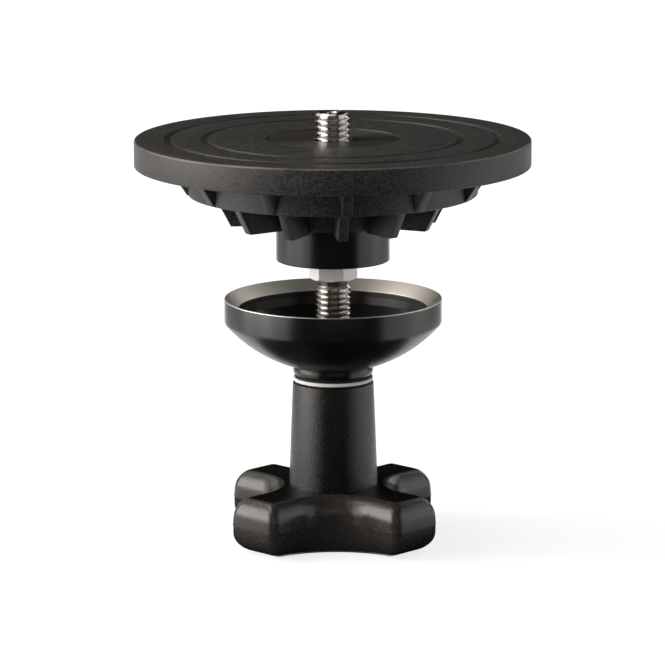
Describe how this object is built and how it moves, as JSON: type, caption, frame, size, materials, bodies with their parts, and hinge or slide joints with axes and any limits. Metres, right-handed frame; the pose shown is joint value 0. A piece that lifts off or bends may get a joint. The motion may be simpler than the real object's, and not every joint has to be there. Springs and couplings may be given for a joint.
{
  "type": "flat base adapter",
  "caption": "Round flat-topped tripod bowl adapter: a camera-head stud on top, ribbed bowl seats below, and a cup and lobed handle that clamp it from under the bowl.",
  "frame": {"origin": "on the stud's axis, on the underside of the handle that the adapter stands on", "axes": "+Z along the stud's axis, up towards the camera head; the plate's front rib lies 5.4 degrees from -Y towards +X"},
  "size_m": [0.107, 0.107, 0.1176],
  "materials": {
    "powder_coated_casting": "die-cast aluminium, fine-texture black powder coat",
    "anodised_core": "turned aluminium, satin black anodised",
    "blackened_steel": "black oxide",
    "bright_steel": "bright plated steel, turned and threaded",
    "white_nylon": "white nylon, punched",
    "black_fibre": "black friction ring",
    "anodised_cup": "turned aluminium, satin black anodised, with a machined bevel inside the rim",
    "moulded_nylon": "glass-filled nylon, satin moulded texture",
    "insert_brass": "turned brass insert"
  },
  "bodies": {
    "adapter": {"top_plate": "powder_coated_casting", "centre_core": "anodised_core", "set_screw_1": "blackened_steel", "set_screw_2": "blackened_steel", "stud": "bright_steel"},
    "thrust_washer": {"thrust_washer": "white_nylon"},
    "handle": {"knob": "moulded_nylon", "threaded_insert": "insert_brass"},
    "friction_washer": {"friction_washer": "black_fibre"},
    "cup": {"clamp_cup": "anodised_cup"}
  },
  "joints": [
    {"name": "clamp_travel", "type": "slide", "parent": "adapter", "child": "thrust_washer", "axis": [0, 0, 1], "range_m": [-0.01, 0.014]},
    {"name": "knob_spin", "type": "hinge", "parent": "thrust_washer", "child": "handle", "pos_m": [0, 0, 0.03], "axis": [0, 0, 1], "range_deg": [-2400, 3360]},
    {"name": "cup_lift", "type": "slide", "parent": "thrust_washer", "child": "friction_washer", "axis": [0, 0, 1], "range_m": [0, 0.006]},
    {"name": "cup_spin", "type": "hinge", "parent": "friction_washer", "child": "cup", "pos_m": [0, 0, 0.055], "axis": [0, 0, 1], "continuous": true}
  ],
  "couplings": [
    {"joint": "clamp_travel", "follows": "knob_spin", "m_per_rad": 0.00023873}
  ]
}
